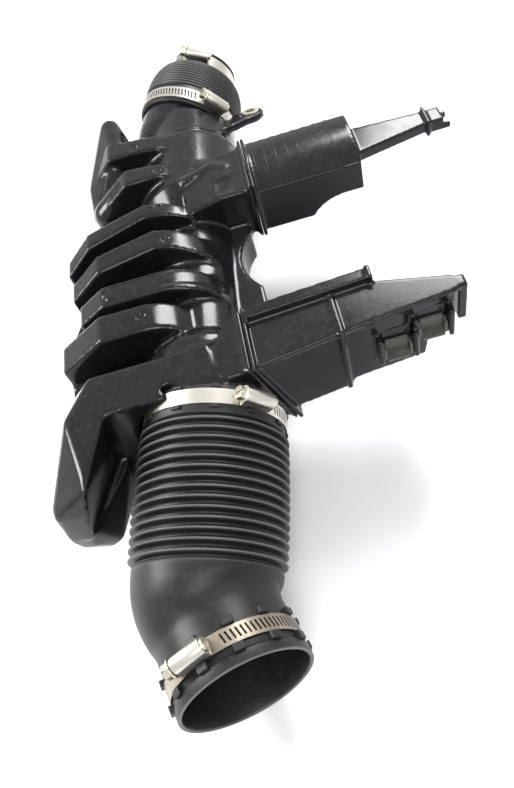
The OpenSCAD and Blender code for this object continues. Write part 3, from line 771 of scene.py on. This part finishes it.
@dataclass
class SweptHose(Piece):
    """A rubber hose made by sweeping one ring through its stations.

    Attributes:
        segments: Points of a ring.
        lug_count: Lugs round one castle.
        lug_w: Width of a lug.
        lug_root: How deep a lug sits in the rubber.
        lug_round: Round of a lug's edges.
    """

    segments: int = 112
    lug_count: int = 12
    lug_w: float = 6.0
    lug_root: float = 1.0
    lug_round: float = 0.5

    def place_of(self, along: float) -> Matrix:
        """Gives the frame at a distance along the hose."""
        raise NotImplementedError

    def sweep(self, stations: list[Station]) -> None:
        """Extrudes a ring through the stations and closes the wall.

        Args:
            stations: The rings, outside from the collar to the mouth and back inside.
        """
        # The ridge attribute carries the painted highlight of the crests and the rim.
        layer = self.build.verts.layers.float.new("ridge")
        before = self.place_of(stations[0].along) @ Matrix.Diagonal((stations[0].radius,) * 2 + (1.0, 1.0))
        ring = bmesh.ops.create_circle(self.build, cap_ends=False, segments=self.segments, radius=1.0,
                                       matrix=before)["verts"]
        edges = list({edge for vert in ring for edge in vert.link_edges})
        first = edges
        for station in stations[1:]:
            after = self.place_of(station.along) @ Matrix.Diagonal((station.radius,) * 2 + (1.0, 1.0))
            made = bmesh.ops.extrude_edge_only(self.build, edges=edges)["geom"]
            verts = [item for item in made if isinstance(item, bmesh.types.BMVert)]
            edges = [item for item in made if isinstance(item, bmesh.types.BMEdge)]
            bmesh.ops.transform(self.build, matrix=after @ before.inverted(), verts=verts)
            for vert in verts:
                vert[layer] = station.ridge
            before = after
        bmesh.ops.bridge_loops(self.build, edges=first + edges)
        for face in self.build.faces:
            face.smooth = True

    def lugs(self, along: float, radius: float, length: float, rise: float) -> None:
        """Adds a castle of small rounded lugs round the hose.

        Args:
            along: Where the lugs start.
            radius: Radius of the rubber under them.
            length: Their length along the hose.
            rise: How far they stand out.
        """
        base = self.place_of(along)
        middle = Matrix.Translation((radius + (rise - self.lug_root) / 2.0, 0.0, length / 2.0))
        shape = middle @ Matrix.Diagonal((rise + self.lug_root, self.lug_w, length, 1.0))
        for index in range(self.lug_count):
            turn = Matrix.Rotation((index + 0.5) * 2.0 * math.pi / self.lug_count, 4, "Z")
            verts = bmesh.ops.create_cube(self.build, size=1.0, matrix=base @ turn @ shape)["verts"]
            edges = list({edge for vert in verts for edge in vert.link_edges})
            bmesh.ops.bevel(self.build, geom=edges, offset=self.lug_round, offset_type="OFFSET",
                            affect="EDGES", segments=2, profile=0.5, material=-1)


@dataclass
class NearHose(SweptHose):
    """The near hose: bellows, bend, taper and a cuff with castle lugs.

    Attributes:
        cuff_r: Outer radius of the collar on the near spigot.
        collar_start: Where the collar starts.
        bellows_start: Where the bellows start.
        folds: How many ridges they have.
        pitch: Distance between ridges.
        fold_h: Height of a ridge.
        wall: Thickness of the rubber.
        shoulder_r: Outer radius at the start of the bend.
        mouth_r: Outer radius of the mouth cuff.
        taper: Length from the bend to that cuff.
        cuff: Length of the mouth cuff.
        band_back: Distance from the rim back to the middle of its band.
        spigot_r: Outer radius of the spigot inside the collar.
        lug_rise: How far the lugs of the collar and of the mouth stand out.
    """

    cuff_r: float = 42.15
    collar_start: float = -15.5
    bellows_start: float = 2.0
    folds: int = 14
    pitch: float = 5.5
    fold_h: float = 4.2
    wall: float = 2.6
    shoulder_r: float = 41.75
    mouth_r: float = 36.0
    taper: float = 9.0
    cuff: float = 32.0
    band_back: float = 14.5
    spigot_r: float = 39.55
    lug_rise: tuple[float, float] = (1.6, 2.6)

    def place_of(self, along: float) -> Matrix:
        """Gives the frame at a distance along the hose."""
        return PLACES.near(along)

    def crest(self, share: float) -> float:
        """Gives the ridge radius at a share of the bellows' length."""
        return self.cuff_r + 2.2 + 0.8 * (1.0 - (2.0 * share - 1.0) ** 2)

    def outside(self) -> list[Station]:
        """Lists the rings of the outer wall.

        Returns:
            The rings, from the collar to the rim.
        """
        rings = rings_at(self.collar_start, self.cuff_r, ((0.0, -0.8), (0.3, -0.2), (1.0, 0.0)))
        rings += rings_at(self.bellows_start, self.cuff_r, ((-1.2, 0.0), (-0.3, -0.6)))
        # Crest tops get the painted highlight, by the fold's height to the eighth.
        for fold in range(self.folds):
            valley = self.crest((fold + 0.5) / self.folds) - self.fold_h
            rings += [Station(self.bellows_start + (fold + share) * self.pitch,
                              valley + self.fold_h * height, height ** 8) for share, height in RIDGE_SHAPE]
        start, end = PLACES.bend_start, PLACES.bend_end()
        top = self.shoulder_r + 0.5
        # The shoulder's crest gets a weaker painted highlight.
        rings += rings_at(start, top, ((-2.0, -3.6), (-1.7, -1.6), (-1.0, -0.5, 0.5), (0.0, 0.0, 0.4),
                                       (1.5, -0.1, 0.1)))
        steps, fall = 28, end + self.taper - start - 1.5
        for step in range(1, steps + 1):
            drop = 0.5 - 0.5 * math.cos(math.pi * (step / steps) ** 1.45)
            rings.append(Station(start + 1.5 + fall * step / steps,
                                 top - 0.1 - (top - 0.1 - self.mouth_r) * drop))
        rim = end + self.taper + self.cuff
        # The rim's edge gets the strongest painted highlight.
        return rings + rings_at(rim, self.mouth_r, ((-6.4, 0.0), (-6.0, 0.3), (-5.6, 0.8), (-5.0, 0.9),
                                                    (-0.5, 0.9, 0.1), (-0.1, 0.75, 1.4), (0.0, 0.5, 1.4)))

    def inside(self) -> list[Station]:
        """Lists the rings of the inner wall.

        Returns:
            The rings, from the rim back to the collar.
        """
        end = PLACES.bend_end()
        rim = end + self.taper + self.cuff
        bore = self.mouth_r - self.wall
        # The inner edge of the rim gets the painted highlight too.
        rings = rings_at(rim, self.mouth_r, ((0.0, -0.9, 1.4), (-0.3, -1.2, 0.6), (-1.2, -1.5)))
        rings += [Station(rim - 6.0, bore), *rings_at(end + self.taper, bore, ((0.0, 0.0), (-2.0, 0.6)))]
        wide, steps = self.shoulder_r - self.wall, 12
        for step in range(steps + 1):
            opened = math.sin(0.5 * math.pi * step / steps)
            rings.append(Station(end - (end - PLACES.bend_start) * step / steps,
                                 bore + 0.9 + (wide - bore - 0.9) * opened))
        for fold in reversed(range(self.folds)):
            valley = self.crest((fold + 0.5) / self.folds) - self.fold_h - self.wall
            rings += [Station(self.bellows_start + (fold + share) * self.pitch, valley + 3.2 * height)
                      for share, height in reversed(INNER_SHAPE)]
        return rings + [Station(self.bellows_start - 0.5, self.spigot_r),
                        Station(self.collar_start, self.spigot_r)]

    def make(self) -> bpy.types.Object:
        """Builds the hose and its lugs.

        Returns:
            The new object.
        """
        self.sweep(self.outside() + self.inside())
        rim = PLACES.bend_end() + self.taper + self.cuff
        low, high = self.lug_rise
        self.lugs(rim - 23.0, self.mouth_r, 3.5, high)
        self.lugs(rim - 9.5, self.mouth_r, 4.2, high)
        self.lugs(-15.0, self.cuff_r, 2.0, low)
        self.lugs(-3.0, self.cuff_r, 2.0, low)
        return self.place()


@dataclass
class FarHose(SweptHose):
    """The far hose: fine ridges on a dome that shrinks to the far cuff.

    Attributes:
        cuff_r: Outer radius of the collar on the far spigot.
        mouth_r: Outer radius of the mouth cuff.
        folds: How many ridges it has.
        pitch: Distance between ridges.
        fold_h: Height of a ridge.
        wall: Thickness of the rubber.
        start: Where the ridges start.
        cuff: Length of the mouth cuff.
        collar_start: Where the collar starts.
    """

    cuff_r: float = 39.35
    mouth_r: float = 26.0
    folds: int = 12
    pitch: float = 2.3
    fold_h: float = 1.2
    wall: float = 2.6
    start: float = 8.5
    cuff: float = 16.0
    collar_start: float = -7.5

    def place_of(self, along: float) -> Matrix:
        """Gives the frame at a distance along the hose."""
        return PLACES.far(along)

    def crest(self, share: float) -> float:
        """Gives the ridge radius at a share of the bellows' length."""
        fall = max(0.0, share * 1.15 - 0.2)
        return self.mouth_r + 3.0 + (self.cuff_r + 0.9 - self.mouth_r - 3.0) * math.sqrt(1.0 - fall * fall)

    def make(self) -> bpy.types.Object:
        """Builds the hose.

        Returns:
            The new object.
        """
        rings = rings_at(self.collar_start, self.cuff_r, ((0.0, -0.8), (0.4, -0.2), (1.1, 0.0)))
        rings.append(Station(self.start - 0.4, self.cuff_r))
        # Crest tops get the painted highlight, by the fold's height to the fourth.
        for fold in range(self.folds):
            valley = self.crest((fold + 0.5) / self.folds) - self.fold_h
            rings += [Station(self.start + (fold + share) * self.pitch, valley + self.fold_h * height,
                              height ** 4) for share, height in FINE_SHAPE]
        shoulder = self.start + self.folds * self.pitch
        rings += rings_at(shoulder, self.crest(1.0) - self.fold_h, ((-0.4, 2.2), (0.0, 1.4)))
        rings += rings_at(shoulder, self.mouth_r, ((0.1, 1.0), (0.8, 0.1), (1.4, 0.0)))
        rim = shoulder + self.cuff
        bore, wide = self.mouth_r - self.wall, self.cuff_r - self.wall
        # The rim's edge, outside and inside, gets the painted highlight.
        rings += rings_at(rim, self.mouth_r, ((-2.8, 0.0), (-2.3, 0.6), (-1.8, 0.8), (-0.4, 0.7, 0.6),
                                              (0.0, 0.2, 1.0)))
        rings += [*rings_at(rim, bore, ((0.0, 0.4, 1.0), (-0.6, 0.0))), Station(shoulder, bore),
                  *rings_at(self.start, bore, ((2.0, 0.0), (1.4, 1.0))),
                  Station(self.start + 1.2, wide), Station(self.collar_start, wide)]
        self.sweep(rings)
        return self.place()


@dataclass
class WormClamp:
    """A worm drive clamp: slotted band, pressed housing and screw.

    Attributes:
        name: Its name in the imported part.
        place: Its frame, with local X through the screw.
        radius: Radius of the hose under the band.
        band_w: Width of the band.
        band_t: Thickness of the band, with its slack.
        length: Length of the housing.
        sheet_t: Thickness of the housing's sheet.
        screw_d: Diameter of the worm screw.
    """

    name: str
    place: Matrix
    radius: float
    band_w: float = 9.0
    band_t: float = 1.1
    length: float = 18.0
    sheet_t: float = 0.8
    screw_d: float = 6.5

    def arch(self, housing: Piece, seat: float) -> None:
        """Presses the arch that holds the screw.

        Args:
            housing: The piece that gets it.
            seat: Radius of the band's outside.
        """
        centre = seat + self.screw_d / 2.0 + 1.2
        bow = self.screw_d / 2.0 + 0.75
        start = housing.build.verts.new((centre, -self.length / 2.0, -bow))
        made = bmesh.ops.spin(housing.build, geom=[start], cent=(centre, -self.length / 2.0, 0.0),
                              axis=(0.0, 1.0, 0.0), angle=-math.pi, steps=14, use_merge=False)["geom_last"]
        last = next(item for item in made if isinstance(item, bmesh.types.BMVert))
        for end, side in ((start, -1.0), (last, 1.0)):
            for foot in (Vector((seat + 1.9, end.co.y, side * (bow + 0.15))),
                         Vector((seat + 0.5, end.co.y, side * (self.band_w / 2.0 + 0.1)))):
                lower = housing.build.verts.new(foot)
                housing.build.edges.new((end, lower))
                end = lower
        made = bmesh.ops.extrude_edge_only(housing.build, edges=housing.build.edges[:])["geom"]
        bmesh.ops.translate(housing.build, vec=(0.0, self.length, 0.0),
                            verts=[item for item in made if isinstance(item, bmesh.types.BMVert)])

    def saddle(self, housing: Piece, seat: float) -> None:
        """Adds the curved plate between the band and the screw.

        Args:
            housing: The piece that gets it.
            seat: Radius of the band's outside.
        """
        radius = seat + 0.45
        half = self.length / 2.0 / radius
        ends = [housing.build.verts.new((radius * math.cos(half), -radius * math.sin(half),
                                         side * self.band_w / 2.0)) for side in (-1.0, 1.0)]
        edge = housing.build.edges.new(ends)
        bmesh.ops.spin(housing.build, geom=[edge, *ends], cent=(0.0, 0.0, 0.0), axis=(0.0, 0.0, 1.0),
                       angle=2.0 * half, steps=10, use_merge=False)

    def make(self, steel: bpy.types.Material, zinc: bpy.types.Material) -> None:
        """Builds the housing and rounds the screw.

        Args:
            steel: Material of the housing.
            zinc: Material of the screw.
        """
        seat = self.radius + self.band_t
        housing = Piece(self.name + "_housing_pressed", self.name + "_housing", steel, Slot.STEEL)
        self.arch(housing, seat)
        self.saddle(housing, seat)
        bmesh.ops.transform(housing.build, matrix=self.place, verts=housing.build.verts)
        for face in housing.build.faces:
            face.smooth = True
        made = housing.place()
        wall = made.modifiers.new("wall", "SOLIDIFY")
        wall.thickness = self.sheet_t * MM
        wall.offset = 0.0
        add_bevel(made, 0.2 * MM)
        screw = Piece(self.name + "_screw_turned", self.name + "_screw", zinc, Slot.ZINC)
        screw.build.from_mesh(frame["nodes"][self.name + "_screw"].data)
        bmesh.ops.remove_doubles(screw.build, verts=screw.build.verts, dist=SAME_POINT)
        bmesh.ops.dissolve_limit(screw.build, angle_limit=math.radians(1.0), verts=screw.build.verts,
                                 edges=screw.build.edges)
        for face in screw.build.faces:
            face.material_index = 0
        add_bevel(screw.finish(), 0.25 * MM)


def turned(place: Matrix, angle: float) -> Matrix:
    """Turns a frame about its own Z axis, by an angle in degrees."""
    return place @ Matrix.Rotation(math.radians(angle), 4, "Z")


def clamps() -> tuple[WormClamp, ...]:
    """Lists the four clamps at their places on the hoses.

    Returns:
        The clamps, from the near mouth to the far one.
    """
    near_band = PLACES.bend_end() + NearHose.taper + NearHose.cuff - NearHose.band_back
    far_band = FarHose.start + FarHose.folds * FarHose.pitch + FarHose.cuff / 2.0
    return (WormClamp("near_mouth", turned(PLACES.near(near_band), 108.0), NearHose.mouth_r),
            WormClamp("near_collar", turned(PLACES.near(-8.0), 44.0), NearHose.cuff_r),
            WormClamp("far_collar", turned(PLACES.far(0.0), 142.0), FarHose.cuff_r),
            WormClamp("far_mouth", turned(PLACES.far(far_band), 105.0), FarHose.mouth_r))


@dataclass(frozen=True)
class Studio:
    """Camera, backdrop, floor and lamps.

    Attributes:
        view: Yaw, elevation and roll of the camera, in degrees.
        place: Place of the camera, in metres.
        lens: Its focal length, in millimetres.
        aim: What the lamps face, in metres.
        lamps: Name, place, size in metres and power in watts of each lamp.
        fill: Colour of the world as the part's dull surfaces see it.
        pale: Grey value of the floor.
        floor_size: Half its width, in metres.
    """

    view: tuple[float, float, float] = (-8.0, 55.0, 21.7)
    place: tuple[float, float, float] = (0.06984, -0.07867, 0.36009)
    lens: float = 700.0 / 788.0 * 36.0
    aim: tuple[float, float, float] = (0.02, 0.2, 0.0)
    lamps: tuple[tuple[str, tuple[float, float, float], float, float], ...] = (
        ("key", (0.46, 0.97, 0.75), 0.4, 13.0), ("left", (-0.75, 0.35, 0.55), 0.4, 12.0),
        ("front", (0.15, -0.55, 0.9), 0.6, 9.0))
    fill: tuple[float, float, float] = (0.42, 0.43, 0.45)
    pale: float = 0.92
    floor_size: float = 4.0

    def camera(self) -> None:
        """Places the camera at the photograph's angle."""
        data = bpy.data.cameras.new("camera")
        camera = bpy.data.objects.new("camera", data)
        bpy.context.scene.collection.objects.link(camera)
        data.sensor_width = 36.0
        data.lens = self.lens
        data.clip_start = 0.01
        yaw, elevation, roll = (math.radians(angle) for angle in self.view)
        ahead = Vector((math.sin(yaw) * math.cos(elevation), math.cos(yaw) * math.cos(elevation),
                        -math.sin(elevation)))
        level = Vector((math.cos(yaw), -math.sin(yaw), 0.0))
        upright = level.cross(ahead)
        right = level * math.cos(roll) - upright * math.sin(roll)
        up = level * math.sin(roll) + upright * math.cos(roll)
        turn = Matrix((right, up, -ahead)).transposed().to_4x4()
        camera.matrix_world = Matrix.Translation(self.place) @ turn
        bpy.context.scene.camera = camera

    def lamp(self, name: str, place: tuple[float, float, float], size: float, power: float) -> None:
        """Adds one soft area light that faces the part.

        Args:
            name: The light's name.
            place: Its place, in metres.
            size: Its edge length, in metres.
            power: Its power, in watts.
        """
        data = bpy.data.lights.new(name, "AREA")
        data.size = size
        data.energy = power
        light = bpy.data.objects.new(name, data)
        bpy.context.scene.collection.objects.link(light)
        light.location = place
        ahead = Vector(self.aim) - Vector(place)
        light.rotation_euler = ahead.to_track_quat("-Z", "Y").to_euler()

    def world(self) -> None:
        """Makes a world that looks white but lights the part softly."""
        world = bpy.data.worlds.new("studio")
        bpy.context.scene.world = world
        world.use_nodes = True
        tree = world.node_tree
        path = tree.nodes.new("ShaderNodeLightPath")
        seen = combine(tree, "MAXIMUM", path.outputs["Is Camera Ray"], path.outputs["Is Glossy Ray"])
        seen = combine(tree, "MAXIMUM", seen, path.outputs["Is Transmission Ray"])
        mix = tree.nodes.new("ShaderNodeMix")
        mix.data_type = "RGBA"
        mix.inputs["A"].default_value = (*self.fill, 1.0)
        mix.inputs["B"].default_value = (1.0, 1.0, 1.0, 1.0)
        tree.links.new(seen, mix.inputs["Factor"])
        tree.links.new(mix.outputs["Result"], tree.nodes["Background"].inputs["Color"])

    def floor(self) -> None:
        """Adds the pale floor under the part."""
        low, _ = FIRST_BOUNDS
        build = bmesh.new()
        bmesh.ops.create_grid(build, x_segments=1, y_segments=1, size=self.floor_size)
        bmesh.ops.translate(build, verts=build.verts, vec=(0.0, 0.2, low.z - 0.0005))
        mesh = bpy.data.meshes.new("floor")
        build.to_mesh(mesh)
        build.free()
        floor = bpy.data.objects.new("floor", mesh)
        bpy.context.scene.collection.objects.link(floor)
        material = bpy.data.materials.new("floor")
        material.use_nodes = True
        surface = material.node_tree.nodes["Principled BSDF"]
        surface.inputs["Base Color"].default_value = (self.pale, self.pale, self.pale, 1.0)
        surface.inputs["Roughness"].default_value = 0.9
        floor.data.materials.append(material)

    def make(self) -> None:
        """Builds the whole studio."""
        self.camera()
        self.world()
        self.floor()
        for lamp in self.lamps:
            self.lamp(*lamp)


def dress_solids(by_slot: dict[Slot, bpy.types.Material], tarnished: bpy.types.Material) -> None:
    """Gives every CAD node its material.

    Args:
        by_slot: Material of each slot.
        tarnished: Material of the near mouth's band.
    """
    for row in frame["record"]["subparts"]:
        item = frame["nodes"][row["node"]]
        slot = Slot(row["material_slot"])
        item.data.materials.clear()
        item.data.materials.append(tarnished if row["node"] == "near_mouth_band" else by_slot[slot])


def main() -> None:
    """Builds the finishes, the pieces and the studio, in order."""
    logging.basicConfig(level=logging.INFO)
    bpy.context.scene.view_settings.view_transform = "Standard"
    groups = {Effect.WEAR: make_wear(), Effect.GRAIN: make_grain()}
    by_slot = {finish.slot: finish.material(name, groups) for name, finish in FINISHES.items()}
    dress_solids(by_slot, TARNISHED_STEEL.material("tarnished_steel", groups))
    tip = ((Vector((152.0, 28.9, 36.5)), Vector((164.0, 37.6, 39.8))),
           (Vector((158.8, 28.9, 10.0)), Vector((164.0, 37.6, 39.0))))
    for shell in (BodyShell("duct_body", 1.5), MouldedShell("near_resonator_box", 0.8, 4, tip),
                  RibbedShell("far_resonator_box", 0.9)):
        shell.make(by_slot[Slot.PLASTIC])
    NearHose("near_hose_bellows", "near_hose", by_slot[Slot.RUBBER], Slot.RUBBER).make()
    FarHose("far_hose_bellows", "far_hose", by_slot[Slot.RUBBER], Slot.RUBBER).make()
    for clamp in clamps():
        clamp.make(by_slot[Slot.STEEL], by_slot[Slot.ZINC])
    Studio().make()


if __name__ == "__main__":
    main()
